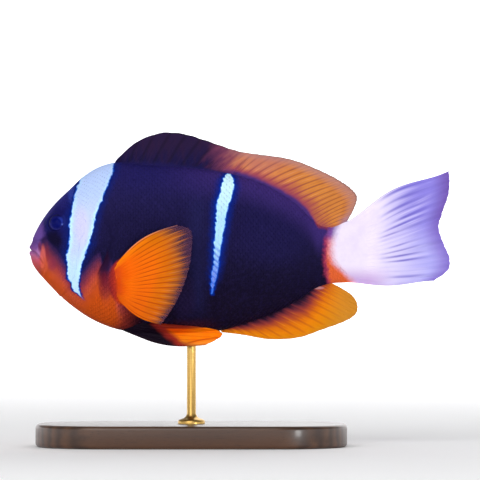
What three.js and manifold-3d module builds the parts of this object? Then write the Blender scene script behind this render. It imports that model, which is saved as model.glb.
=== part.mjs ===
// A life-size museum model of an orange-fin anemonefish, a deep-bodied clownfish, on a display stand.
//
// Millimetres, +Z up. The origin is on the surface that the stand rests on, under the stand's rod.
// The fish swims towards -X, so that its left side faces -Y. Inside the fish's own group, a place is
// u, the distance behind the snout; y, towards its right side; and v, the height over its swimming line.

import * as THREE from "three";
import { mergeVertices } from "three/addons/utils/BufferGeometryUtils.js";
import Module from "manifold-3d";

const wasm = await Module();
wasm.setup();

// ---- Driving dimensions ----

const TOTAL_LENGTH = 130; // snout to the upper tip of the tail fin
const BODY_LENGTH = 98; // snout to the root of the tail fin
const SWIM_HEIGHT = 60; // swimming line over the surface under the stand
const GAP = 0.3; // between pieces that touch
const TAIL_SWING = 9; // how far the tip of the tail fin swings to the fish's right
const SWING_START = 55; // the body is straight as far back as this

const BASE = { length: 96, width: 52, thickness: 7, corner: 22, bevel: 1.2 };
const ROD = { u: 50, radius: 1.4, socketDepth: 7, spigotDepth: 4, flangeRadius: 4.2, flangeHeight: 1.6 };
const EYE = { u: 9.15, v: 8.6, radius: 3.1, centreDepth: 1.95 };

// ---- Colours of the real animal, given to the meshes ----

const finish = (color, roughness, metalness = 0) =>
  new THREE.MeshStandardMaterial({ color, roughness, metalness });
const MATERIALS = {
  flank: finish(0x1f1b3c, 0.5),
  face: finish(0x8c3a3c, 0.5),
  orangeFin: finish(0xec7a10, 0.5),
  darkFin: finish(0x2e2340, 0.5),
  tailFin: finish(0xd9d6f8, 0.45),
  eye: finish(0x14163f, 0.1),
  brass: finish(0xb08d4a, 0.35, 1),
  wood: finish(0x2a1c14, 0.4),
};

// ---- Body form: profiles along the fish, and the section between them ----

const NOSE_CROWDING = 1.5; // above 1, sections crowd towards the blunt snout
const crowded = (u) => Math.pow(Math.max(u, 0) / BODY_LENGTH, 1 / NOSE_CROWDING);

// A smooth curve through [u, value] pairs, as a function of u.
function profile(pairs) {
  const places = pairs.map(([u]) => crowded(u));
  const values = pairs.map(([, value]) => value);
  const curve = new THREE.CubicInterpolant(places, values, 1);
  return (u) => curve.evaluate(crowded(u))[0];
}

const backLine = profile([
  [0, 1.6], [1.4, 5.9], [5.1, 12], [8.8, 16.4], [16.2, 23.3], [19.9, 25.7], [25, 27.6],
  [35.7, 27.2], [54.8, 25.6], [63, 24.2], [69.5, 22.4], [77, 19], [83, 15], [88, 10.2], [92, 7.9], [98, 9.8],
]);
const bellyLine = profile([
  [0, -1.2], [1.4, -4.8], [5.1, -9.3], [12.5, -16.4], [19.9, -21.3], [27.3, -24.1], [36, -25],
  [50, -25.1], [60.7, -24.1], [66, -22.5], [79.5, -17.2], [84.5, -14.2], [88, -11.8], [92, -10.2], [98, -9.7],
]);
const halfWidth = profile([
  [0, 1.7], [1.5, 3.3], [4, 5.1], [8, 7.2], [13, 8.9], [20, 10.5], [28, 11.3], [37, 11.5],
  [47, 11], [57, 9.9], [67, 8.1], [77, 6], [85, 4.4], [92, 3.1], [98, 2.2],
]);
const BACK_SHARPNESS = 1.15; // powers of the sine that gives the section's width: the back is
const BELLY_SHARPNESS = 0.9; // keener than an ellipse, and the belly is fuller

const midLine = (u) => (backLine(u) + bellyLine(u)) / 2;

// How far the tail has swung to the right at u.
function swing(u) {
  const share = Math.max(0, u - SWING_START) / (TOTAL_LENGTH - SWING_START);
  return TAIL_SWING * share * share;
}

// Half the body's width at u and height v.
function flank(u, v) {
  const half = (backLine(u) - bellyLine(u)) / 2;
  const cosine = THREE.MathUtils.clamp((v - midLine(u)) / half, -1, 1);
  const power = cosine > 0 ? BACK_SHARPNESS : BELLY_SHARPNESS;
  return halfWidth(u) * Math.pow(Math.sqrt(1 - cosine * cosine), power);
}

const RINGS = 28;
const RING_POINTS = 26;

// The whole body as one closed surface. Swell moves it out along its own normals.
function bodyForm(swell = 0) {
  const positions = [];
  const triangles = [];
  for (let ring = 0; ring <= RINGS; ring++) {
    const u = BODY_LENGTH * Math.pow(ring / RINGS, NOSE_CROWDING);
    const half = (backLine(u) - bellyLine(u)) / 2;
    for (let step = 0; step < RING_POINTS; step++) {
      const angle = (step / RING_POINTS) * 2 * Math.PI;
      const v = midLine(u) + half * Math.cos(angle);
      const power = Math.cos(angle) > 0 ? BACK_SHARPNESS : BELLY_SHARPNESS;
      const side = Math.sign(Math.sin(angle)) * Math.pow(Math.abs(Math.sin(angle)), power);
      positions.push(u, swing(u) + halfWidth(u) * side, v);
    }
  }
  const corner = (ring, step) => ring * RING_POINTS + (step % RING_POINTS);
  for (let ring = 0; ring < RINGS; ring++) {
    for (let step = 0; step < RING_POINTS; step++) {
      const [a, b] = [corner(ring, step), corner(ring, step + 1)];
      const [c, d] = [corner(ring + 1, step), corner(ring + 1, step + 1)];
      triangles.push(a, c, b, b, c, d);
    }
  }
  const noseMiddle = positions.length / 3;
  positions.push(0, 0, midLine(0));
  const tailMiddle = positions.length / 3;
  positions.push(BODY_LENGTH, swing(BODY_LENGTH), midLine(BODY_LENGTH));
  for (let step = 0; step < RING_POINTS; step++) {
    triangles.push(noseMiddle, corner(0, step), corner(0, step + 1));
    triangles.push(tailMiddle, corner(RINGS, step + 1), corner(RINGS, step));
  }
  const geometry = new THREE.BufferGeometry();
  geometry.setAttribute("position", new THREE.Float32BufferAttribute(positions, 3));
  geometry.setIndex(triangles);
  geometry.computeVertexNormals();
  const place = geometry.getAttribute("position");
  const normal = geometry.getAttribute("normal");
  for (let i = 0; i < place.count; i++) {
    place.setXYZ(
      i,
      place.getX(i) + swell * normal.getX(i),
      place.getY(i) + swell * normal.getY(i),
      place.getZ(i) + swell * normal.getZ(i),
    );
  }
  return geometry;
}

// ---- Solids: between three.js geometry and manifold-3d ----

function solidOf(geometry) {
  const bare = geometry.clone();
  bare.deleteAttribute("normal");
  bare.deleteAttribute("uv");
  const merged = mergeVertices(bare, 1e-4);
  const solid = new wasm.Manifold(
    new wasm.Mesh({
      numProp: 3,
      vertProperties: new Float32Array(merged.getAttribute("position").array),
      triVerts: new Uint32Array(merged.index.array),
    }),
  );
  return solid;
}

function geometryOf(solid) {
  const mesh = solid.getMesh();
  const geometry = new THREE.BufferGeometry();
  geometry.setAttribute("position", new THREE.Float32BufferAttribute(mesh.vertProperties, 3));
  geometry.setIndex(new THREE.Uint32BufferAttribute(mesh.triVerts, 1));
  geometry.computeVertexNormals();
  return geometry;
}

const REACH = 30; // prisms run this far to each side of the fish

// A prism right through the fish, or through one side of it, with this outline in the side view.
function prism(outline, fromY = -REACH, toY = REACH) {
  const shape = new THREE.Shape(outline);
  const geometry = new THREE.ExtrudeGeometry(shape, { depth: toY - fromY, bevelEnabled: false });
  return solidOf(geometry.rotateX(Math.PI / 2).translate(0, toY, 0));
}

// Points along a smooth line through [u, v] pairs, moved back by shift.
function line(pairs, shift = 0, steps = 16) {
  const curve = new THREE.SplineCurve(pairs.map(([u, v]) => new THREE.Vector2(u + shift, v)));
  return curve.getPoints(steps);
}

// A closed outline moved out by a distance all round.
function grown(outline, distance) {
  const closed = THREE.ShapeUtils.isClockWise(outline) ? outline.slice().reverse() : outline;
  return closed.map((point, i) => {
    const before = closed[(i + closed.length - 1) % closed.length];
    const after = closed[(i + 1) % closed.length];
    const along = after.clone().sub(before).normalize();
    return new THREE.Vector2(point.x + along.y * distance, point.y - along.x * distance);
  });
}

// ---- Lines in the side view where the body parts ----

const gillLine = [
  [24.5, 34], [22.4, 16], [24.9, 8.5], [25.6, 3], [23.4, -2.6], [21.3, -6.4], [20.8, -10.5], [17.4, -16],
  [12.8, -19.4], [8, -24],
];
const cheekLine = [[18.6, 11.5], [17.2, 7.6], [15, 1.8], [13.9, -3], [13, -8.5], [10.2, -14]];
const mouthLine = [[-2, 0.9], [0.4, 0.5], [1.9, -0.6], [3.2, -2], [4.2, -3.8]];
const lipLine = [[5.1, -4.9], [5.4, -3], [4.6, -0.6], [3.2, 1.6], [1.7, 3], [-2, 4]];
const chinLine = [[4.2, -3.8], [5.6, -5.2], [6.2, -7.4], [5.2, -9.2], [3.4, -11.5]];
const stalkLine = [[86.5, 18], [88.3, 8], [89.2, 0], [88.6, -8], [86.5, -18]];

const point = (u, v) => new THREE.Vector2(u, v);
const aheadOfGills = [...line(gillLine), point(-9, -24), point(-9, 34)];
const betweenGillsAndStalk = [
  point(87, 40), ...line(stalkLine), point(87, -40), point(8, -40), ...line(gillLine, GAP * 1.4).reverse(),
];
const behindStalk = [...line(stalkLine, GAP), point(110, -18), point(110, 18)];
const behindCheek = [...line(cheekLine), point(10.2, -28), point(34, -28), point(34, 11.5)];
const jawOutline = [...line(mouthLine, 0, 6), ...line(chinLine, 0, 6).slice(1), point(-2, -11.5)];
const lipOutline = [...line(mouthLine, 0, 6), ...line(lipLine, 0, 8)];

// ---- Head, jaws, gill covers, trunk and tail stalk, cut from the body ----

const COVER_PROUD = 0.35; // a gill cover's plate stands this far out of the flank
const LIP_PROUD = 0.3;
const COVER_CORE = 0.83; // share of the body's width that is left under the gill covers
const COVER_INSIDE = 4; // the least distance of a gill cover from the midplane

const body = solidOf(bodyForm());
const bodyWithGap = solidOf(bodyForm(GAP));
const core = solidOf(bodyForm().scale(1, COVER_CORE, 1));
const coreWithGap = solidOf(bodyForm(0.05).scale(1, COVER_CORE + 0.03, 1));
const headBlock = prism(aheadOfGills);

const eyeY = flank(EYE.u, EYE.v) - EYE.centreDepth;
function eyeBall(side, extra = 0) {
  const ball = new THREE.SphereGeometry(EYE.radius + extra, 16, 10);
  return ball.rotateX(Math.PI / 2).translate(EYE.u, side * eyeY, EYE.v);
}

function gillCover() {
  const plate = solidOf(bodyForm(COVER_PROUD)).intersect(prism(behindCheek, -REACH, -COVER_INSIDE));
  return plate.intersect(headBlock).subtract(coreWithGap);
}

function head() {
  const coverRoom = prism(grown(behindCheek, GAP)).subtract(core);
  const upperLip = solidOf(bodyForm(LIP_PROUD)).intersect(prism(lipOutline));
  return body
    .intersect(headBlock)
    .add(upperLip)
    .subtract(coverRoom)
    .subtract(prism(grown(jawOutline, GAP)))
    .subtract(solidOf(eyeBall(-1, GAP)))
    .subtract(solidOf(eyeBall(1, GAP)));
}

const lowerJaw = () => body.intersect(prism(jawOutline));
const tailStalk = () => body.intersect(prism(behindStalk));

function trunk() {
  const socket = new THREE.CylinderGeometry(ROD.radius + GAP, ROD.radius + GAP, 2 * ROD.socketDepth, 14);
  socket.rotateX(Math.PI / 2).translate(ROD.u, 0, bellyLine(ROD.u));
  return body.intersect(prism(betweenGillsAndStalk)).subtract(solidOf(socket));
}

// ---- Fins ----
// A fin is given by key rays, each [root u, root v, tip u, tip v, bow], from its leading edge to its
// trailing edge. The bow bends a ray up or down in the middle. Rays between the keys are worked out,
// and the web is thinner between the rays than on them.

const WEB = 0.5; // the least thickness of a web
const RAY = 0.85; // thickness over a ray, near the middle of the fin
const EMBED = 1.2; // roots start this deep in the body, before they are cut to fit it

function raySheet(keys) {
  const roots = new THREE.SplineCurve(keys.map(([u, v]) => point(u, v)));
  const tips = new THREE.SplineCurve(keys.map(([, , u, v]) => point(u, v)));
  const bows = new THREE.SplineCurve(keys.map(([, , , , bow], i) => point(i, bow)));
  return (across, out) => {
    const root = roots.getPoint(across);
    const tip = tips.getPoint(across);
    const chord = tip.clone().sub(root);
    const rise = (bows.getPoint(across).y * 4 * out * (1 - out)) / chord.length();
    return point(root.x + chord.x * out - chord.y * rise, root.y + chord.y * out + chord.x * rise);
  };
}

// A closed solid round a sheet: place gives a point of the sheet, and thickness its whole thickness.
function finSolid(rays, rows, place, thickness) {
  const columns = 2 * rays;
  const positions = [];
  const triangles = [];
  const step = 1e-3;
  for (let i = 0; i <= columns; i++) {
    for (let j = 0; j <= rows; j++) {
      const across = i / columns;
      const out = j / rows;
      const middle = place(across, out);
      const alongRoot = place(Math.min(across + step, 1), out).sub(place(Math.max(across - step, 0), out));
      const alongRay = place(across, Math.min(out + step, 1)).sub(place(across, Math.max(out - step, 0)));
      const half = alongRoot.cross(alongRay).normalize();
      half.multiplyScalar(thickness(across, out, i % 2 === 0) / 2);
      positions.push(...middle.clone().add(half), ...middle.clone().sub(half));
    }
  }
  const corner = (i, j, face) => 2 * (i * (rows + 1) + j) + face;
  const quad = (a, b, c, d) => triangles.push(a, b, c, a, c, d);
  for (let i = 0; i < columns; i++) {
    for (let j = 0; j < rows; j++) {
      quad(corner(i, j, 0), corner(i + 1, j, 0), corner(i + 1, j + 1, 0), corner(i, j + 1, 0));
      quad(corner(i, j, 1), corner(i, j + 1, 1), corner(i + 1, j + 1, 1), corner(i + 1, j, 1));
    }
    quad(corner(i, 0, 0), corner(i, 0, 1), corner(i + 1, 0, 1), corner(i + 1, 0, 0));
    quad(corner(i, rows, 0), corner(i + 1, rows, 0), corner(i + 1, rows, 1), corner(i, rows, 1));
  }
  for (let j = 0; j < rows; j++) {
    quad(corner(0, j, 0), corner(0, j + 1, 0), corner(0, j + 1, 1), corner(0, j, 1));
    quad(corner(columns, j, 0), corner(columns, j, 1), corner(columns, j + 1, 1), corner(columns, j + 1, 0));
  }
  const geometry = new THREE.BufferGeometry();
  geometry.setAttribute("position", new THREE.Float32BufferAttribute(positions, 3));
  geometry.setIndex(triangles);
  return solidOf(geometry);
}

// A ray is thickest at its root, and swells into the body there.
function rayThickness(rootThickness) {
  return (across, out, onRay) => {
    const swelling = (rootThickness - RAY) * Math.exp(-out * 7);
    const taper = THREE.MathUtils.lerp(onRay ? RAY : WEB, WEB, out * out);
    return Math.max(WEB, taper + Math.max(swelling, 0));
  };
}

// A fin in the fish's midplane, which swings with the tail.
function medianFin(rays, rows, keys, rootThickness) {
  const sheet = raySheet(keys);
  const place = (across, out) => {
    const at = sheet(across, out);
    return new THREE.Vector3(at.x, swing(at.x), at.y);
  };
  return finSolid(rays, rows, place, rayThickness(rootThickness));
}

const onBack = (u, tipU, tipV, bow = 0.5) => [u, backLine(u) - EMBED, tipU, tipV, bow];
const onBelly = (u, tipU, tipV, bow = -0.5) => [u, bellyLine(u) + EMBED, tipU, tipV, bow];

const spinyDorsal = () =>
  medianFin(10, 3, [
    onBack(25.6, 27, 29.3, 0), onBack(30, 33.2, 34.1, 0), onBack(35, 40.5, 36.8, 0.2),
    onBack(41, 47.5, 36.6, 0.2), onBack(47, 54, 34.7, 0.2), onBack(53, 60, 32.6, 0.2),
    onBack(58, 65, 31.1, 0.2), onBack(62, 68.4, 30.4, 0.3),
  ], 2.2).subtract(bodyWithGap);

const softDorsal = () =>
  medianFin(15, 3, [
    onBack(62.5, 68.9, 30.4, 0.3), onBack(68, 77.5, 29.4), onBack(74, 86, 27.1), onBack(79.5, 93, 23.7),
    onBack(84, 98.7, 20.1), onBack(87, 101.2, 16.8), onBack(89.5, 100.4, 13.6), onBack(91.8, 97.6, 9.9, 0),
  ], 2.2).subtract(bodyWithGap);

const analFin = () =>
  medianFin(14, 3, [
    onBelly(61, 62.4, -25.3, 0), onBelly(65, 70, -26.9), onBelly(71, 78.5, -27.1), onBelly(77, 87, -25.4),
    onBelly(82.5, 95, -22), onBelly(86.5, 99.9, -19.5), onBelly(89, 101.2, -16.2),
    onBelly(90.6, 99.4, -13.4), onBelly(91.6, 95.8, -11, 0),
  ], 2.2).subtract(bodyWithGap);

function caudalFin() {
  const fromStalk = (v, tipU, tipV, bow) => [BODY_LENGTH + GAP, v, tipU, tipV, bow];
  const sheet = raySheet([
    fromStalk(9.6, 129.2, 24.7, 2.6), fromStalk(7, 129.5, 21.6, 1), fromStalk(4.2, 129.3, 17.4, -0.4),
    fromStalk(1.8, 127.6, 12.2, -0.8), fromStalk(-0.6, 126.6, 8, -0.8), fromStalk(-2.8, 127.5, 3.8, -0.7),
    fromStalk(-5, 129.5, -1, -0.5), fromStalk(-7.2, 129.4, -5.3, -0.4), fromStalk(-9.6, 124.6, -8.6, -0.9),
  ]);
  const place = (across, out) => {
    const at = sheet(across, out);
    const pleat = 0.5 * out * Math.sin(across * 6 * Math.PI);
    return new THREE.Vector3(at.x, swing(at.x) + pleat, at.y);
  };
  const stalkEnd = 2 * halfWidth(BODY_LENGTH);
  const thickness = (across, out, onRay) => {
    const round = Math.sqrt(Math.max(0, 1 - Math.pow(2 * across - 1, 2)));
    const web = rayThickness(RAY)(across, out, onRay);
    return web + Math.max(0, stalkEnd * round - web) * Math.exp(-out * 9);
  };
  return finSolid(15, 5, place, thickness);
}

const PECTORAL_FLARE = 8.5; // how far the tip of the fin stands out from its root
function leftPectoralFin() {
  const sheet = raySheet([
    [26.6, -4.4, 45.8, 8.2, 2.4], [26.9, -5.8, 49.9, 6.9, 1.2], [27.2, -7.4, 50.5, 2.6, 0.5],
    [27.5, -9, 50, -2.3, 0], [27.7, -10.6, 48.6, -8.2, 0], [27.8, -12, 46.4, -13.6, 0],
    [27.8, -13.2, 43.6, -18.5, -0.5], [27.7, -14.2, 40.9, -22.2, -1.6],
  ]);
  const place = (across, out) => {
    const at = sheet(across, out);
    const root = sheet(across, 0);
    const cup = 1.6 * out * Math.pow(2 * across - 1, 2);
    const flare = PECTORAL_FLARE * Math.sin(out * Math.PI * 0.42);
    return new THREE.Vector3(at.x, -(flank(root.x, root.y) - EMBED + flare - cup), at.y);
  };
  return finSolid(14, 3, place, rayThickness(2.4)).subtract(bodyWithGap);
}

// The pelvic fins lie back along the belly, each hugging its own side.
const PELVIC_SPREAD = 3.2; // least distance of the free fin from the midplane
function leftPelvicFin() {
  const sheet = raySheet([
    [29.6, -23.6, 54.6, -28.4, -2.3], [30.6, -23.3, 58, -26.6, -1.9], [31.8, -22.9, 59.4, -25, -1.1],
    [33, -22.4, 57.4, -23.9, -0.2], [34.4, -21.9, 52, -23.1, 0.2],
  ]);
  const place = (across, out) => {
    const at = sheet(across, out);
    const root = sheet(across, 0);
    const rootY = flank(root.x, root.y) - EMBED;
    const freeY = Math.max(flank(at.x, at.y) + 0.9, PELVIC_SPREAD);
    const freed = Math.sin(Math.min(3 * out, 1) * Math.PI * 0.5);
    return new THREE.Vector3(at.x, -THREE.MathUtils.lerp(rootY, freeY, freed), at.y);
  };
  return finSolid(5, 4, place, rayThickness(2)).subtract(bodyWithGap);
}

// ---- Display stand ----

function standBase() {
  const halfLength = BASE.length / 2 - BASE.bevel;
  const halfWide = BASE.width / 2 - BASE.bevel;
  const round = BASE.corner;
  const shape = new THREE.Shape();
  shape.moveTo(round - halfLength, -halfWide);
  shape.lineTo(halfLength - round, -halfWide);
  shape.absarc(halfLength - round, round - halfWide, round, -Math.PI / 2, 0);
  shape.absarc(halfLength - round, halfWide - round, round, 0, Math.PI / 2);
  shape.absarc(round - halfLength, halfWide - round, round, Math.PI / 2, Math.PI);
  shape.absarc(round - halfLength, round - halfWide, round, Math.PI, 1.5 * Math.PI);
  const plate = new THREE.ExtrudeGeometry(shape, {
    depth: BASE.thickness - 2 * BASE.bevel,
    bevelThickness: BASE.bevel,
    bevelSize: BASE.bevel,
    bevelSegments: 2,
    curveSegments: 5,
  });
  plate.translate(0, 0, BASE.bevel);
  const holeRadius = ROD.radius + GAP;
  const hole = new THREE.CylinderGeometry(holeRadius, holeRadius, 2 * (ROD.spigotDepth + GAP), 14);
  hole.rotateX(Math.PI / 2).translate(0, 0, BASE.thickness);
  return solidOf(plate).subtract(solidOf(hole));
}

function standRod() {
  const foot = BASE.thickness + GAP;
  const top = SWIM_HEIGHT + bellyLine(ROD.u) + ROD.socketDepth - GAP;
  const { radius, flangeRadius, flangeHeight, spigotDepth } = ROD;
  const half = [
    [0, foot - spigotDepth], [radius, foot - spigotDepth], [radius, foot], [flangeRadius, foot],
    [flangeRadius, foot + flangeHeight * 0.5], [flangeRadius - 0.5, foot + flangeHeight * 0.9],
    [radius + 0.9, foot + flangeHeight], [radius, foot + flangeHeight + 0.9], [radius, top], [0, top],
  ];
  const turned = new THREE.LatheGeometry(half.map(([r, z]) => point(r, z)), 14);
  return solidOf(turned.rotateX(Math.PI / 2));
}

// ---- Assembly ----

function mesh(name, solid, material) {
  const made = new THREE.Mesh(geometryOf(solid), material);
  made.name = name;
  return made;
}

// The piece on the left, and its mirror image on the right.
function pair(name, solid, material) {
  const left = mesh(name + "_left", solid, material);
  const right = mesh(name + "_right", solid, material);
  right.scale.y = -1;
  return [left, right];
}

const fish = new THREE.Group();
fish.position.set(-ROD.u, 0, SWIM_HEIGHT);
fish.add(
  mesh("head", head(), MATERIALS.face),
  mesh("lower_jaw", lowerJaw(), MATERIALS.face),
  ...pair("gill_cover", gillCover(), MATERIALS.face),
  ...pair("eye", solidOf(eyeBall(-1)), MATERIALS.eye),
  mesh("trunk", trunk(), MATERIALS.flank),
  mesh("tail_stalk", tailStalk(), MATERIALS.flank),
  mesh("dorsal_fin_spiny", spinyDorsal(), MATERIALS.darkFin),
  mesh("dorsal_fin_soft", softDorsal(), MATERIALS.orangeFin),
  mesh("anal_fin", analFin(), MATERIALS.orangeFin),
  mesh("caudal_fin", caudalFin(), MATERIALS.tailFin),
  ...pair("pectoral_fin", leftPectoralFin(), MATERIALS.orangeFin),
  ...pair("pelvic_fin", leftPelvicFin(), MATERIALS.orangeFin),
);

const model = new THREE.Group();
model.add(
  fish,
  mesh("stand_base", standBase(), MATERIALS.wood),
  mesh("stand_rod", standRod(), MATERIALS.brass),
);

export default model;
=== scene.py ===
# An orange-fin anemonefish, a deep-bodied clownfish, as a life-size museum model on a display stand.
# The skin comes first, then its scales, the eyes, the fins, the stand, and the room with its lights.

import math
from functools import partialmethod

import bpy
import numpy as np
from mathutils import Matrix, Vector


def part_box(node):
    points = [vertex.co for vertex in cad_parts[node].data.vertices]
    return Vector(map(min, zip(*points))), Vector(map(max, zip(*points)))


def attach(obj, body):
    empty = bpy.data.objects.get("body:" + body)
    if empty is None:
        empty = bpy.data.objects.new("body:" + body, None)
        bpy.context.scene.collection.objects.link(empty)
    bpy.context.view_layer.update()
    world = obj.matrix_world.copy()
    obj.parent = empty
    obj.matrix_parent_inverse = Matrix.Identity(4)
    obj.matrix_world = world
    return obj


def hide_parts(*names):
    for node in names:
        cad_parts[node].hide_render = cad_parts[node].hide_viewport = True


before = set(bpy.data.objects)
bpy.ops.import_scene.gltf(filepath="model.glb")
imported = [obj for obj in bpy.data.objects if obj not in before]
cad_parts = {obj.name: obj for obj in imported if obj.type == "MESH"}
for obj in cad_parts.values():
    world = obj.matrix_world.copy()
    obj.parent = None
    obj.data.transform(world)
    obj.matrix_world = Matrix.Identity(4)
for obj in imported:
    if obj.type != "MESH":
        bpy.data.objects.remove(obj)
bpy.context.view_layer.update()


# ---- Skin ----
# One smooth skin from the lips to the root of the tail fin: cast resin in life, with no seams.
# It is lofted through body sections, and its head is worked: lips, nostrils, rims round the
# eyes, cheek and gill cover edges. It lies inside the frame's solids by the depth of the scales.

MM = 0.001
COAT_DEPTH = 0.2  # mm from the outside of the flesh solids down to the skin
EYE_U, EYE_V = 9.15, 8.6  # mm behind the snout and above the swimming line
eye_low, eye_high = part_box("eye_left")
EYE_RADIUS = (eye_high.x - eye_low.x) / 2 / MM
EYE_Y = -(eye_low.y + eye_high.y) / 2 / MM
SNOUT_X = (eye_low.x + eye_high.x) / 2 - EYE_U * MM
LINE_Z = (eye_low.z + eye_high.z) / 2 - EYE_V * MM
BODY_END = 105.5
TOTAL_LENGTH = 130
TAIL_SWING = 9
SWING_START = 55


def smooth(low, high, x):
    t = np.clip((x - low) / (high - low), 0, 1)
    return t * t * (3 - 2 * t)


def bump(distance, width):
    return np.exp(-((distance / width) ** 2))


def profile(pairs, crowding=1.5):
    """A smooth curve through (u, value) pairs, which bends most freely near the snout."""
    places, values = np.array(pairs, float).T
    places = places ** (1 / crowding)
    slopes = np.gradient(values, places)

    def at(u):
        x = np.maximum(u, 0) ** (1 / crowding)
        i = np.clip(np.searchsorted(places, x) - 1, 0, len(places) - 2)
        step = places[i + 1] - places[i]
        t = np.clip((x - places[i]) / step, 0, 1)
        return (
            values[i] * (1 + 2 * t) * (1 - t) ** 2
            + values[i + 1] * t * t * (3 - 2 * t)
            + slopes[i] * step * t * (1 - t) ** 2
            - slopes[i + 1] * step * t * t * (1 - t)
        )

    return at


back_line = profile([
    (0, 0.5), (0.15, 1.8), (0.6, 3.5), (1.4, 5.6), (5.1, 11.9), (8.8, 16.2), (12, 19.2), (16.2, 23.2),
    (19.9, 25.7), (25, 27.6), (35.7, 27.2), (54.8, 25.6), (63, 24.2), (69.5, 22.4), (77, 19), (83, 15),
    (88, 10.2), (92, 7.9), (98, 9.7), (101, 10.9), (105.5, 12.6),
])
belly_line = profile([
    (0, 0.2), (0.15, -1.5), (0.6, -3.2), (1.4, -4.8), (5.1, -9.3), (12.5, -16.4), (19.9, -21.3),
    (27.3, -24.1), (36, -25), (50, -25.1), (60.7, -24.1), (66, -22.5), (79.5, -17.2), (84.5, -14.2),
    (88, -11.8), (92, -10.2), (98, -9.6), (105.5, -9.1),
])
half_width = profile([
    (0, 0), (0.15, 1.5), (0.6, 2.5), (1.5, 3.4), (4, 5.1), (8, 7.2), (13, 8.9), (20, 10.5), (28, 11.3),
    (37, 11.5), (47, 11), (57, 9.9), (67, 8.1), (77, 6), (85, 4.4), (92, 3.1), (98, 2), (101, 1.2),
    (105.5, 0.2),
])


def swing(u):
    """How far the rear of the fish curls to its right, in mm."""
    share = np.maximum(0, u - SWING_START) / (TOTAL_LENGTH - SWING_START)
    return TAIL_SWING * share * share


def metres(u, y, v):
    return np.stack([SNOUT_X + u * MM, y * MM, LINE_Z + v * MM], axis=-1)


def spline(points, t):
    """Points of a smooth line through these points, for t from 0 to 1."""
    p = np.asarray(points, float)
    x = np.clip(t, 0, 1) * (len(p) - 1)
    i = np.clip(x.astype(int), 0, len(p) - 2)
    w = (x - i)[..., None]
    a, b = p[np.maximum(i - 1, 0)], p[i]
    c, d = p[i + 1], p[np.minimum(i + 2, len(p) - 1)]
    return 0.5 * (
        2 * b + (c - a) * w + (2 * a - 5 * b + 4 * c - d) * w * w + (3 * b - a - 3 * c + d) * w**3
    )


def from_line(points, u, v):
    """Distance from a line in the side view, positive on its left as it runs, and the share along it."""
    line = spline(points, np.linspace(0, 1, 49))
    nearest = np.full(u.shape, 1e9)
    side, share = np.zeros(u.shape), np.zeros(u.shape)
    for i in range(len(line) - 1):
        (au, av), (bu, bv) = line[i], line[i + 1]
        du, dv = bu - au, bv - av
        t = np.clip(((u - au) * du + (v - av) * dv) / (du * du + dv * dv), 0, 1)
        gap = np.hypot(u - au - t * du, v - av - t * dv)
        closer = gap < nearest
        nearest = np.where(closer, gap, nearest)
        side = np.where(closer, np.sign(du * (v - av) - dv * (u - au)), side)
        share = np.where(closer, (i + t) / (len(line) - 1), share)
    return nearest * side, share


GAPE = [(-1.2, 0.9), (0, 0.6), (1.3, 0), (2.6, -1.3), (3.6, -2.8), (4.2, -3.9)]
LIP_FOLD = [(-1, 3.6), (1, 3.4), (2.3, 2.7), (3.2, 1.2), (3.9, -0.8), (4.5, -3), (4.7, -5.2), (3.8, -7.4)]
CHEEK_EDGE = [(16.4, 12.5), (17, 8), (15.6, 2.5), (14.6, -3), (13.4, -8.5), (10.6, -13), (7.4, -14.6)]
GILL_EDGE = [
    (21.6, 14), (23.2, 10.5), (24.9, 7.5), (25.4, 3), (23.5, -2.6), (21.4, -6.4), (20.9, -10.5),
    (17.4, -16), (12.8, -19.4),
]
NOSTRIL_U, NOSTRIL_V = 4.9, 7.6
ORBIT_U, ORBIT_V = 8.4, 8.95  # the middle of the eye's opening, which looks a little ahead


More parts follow.
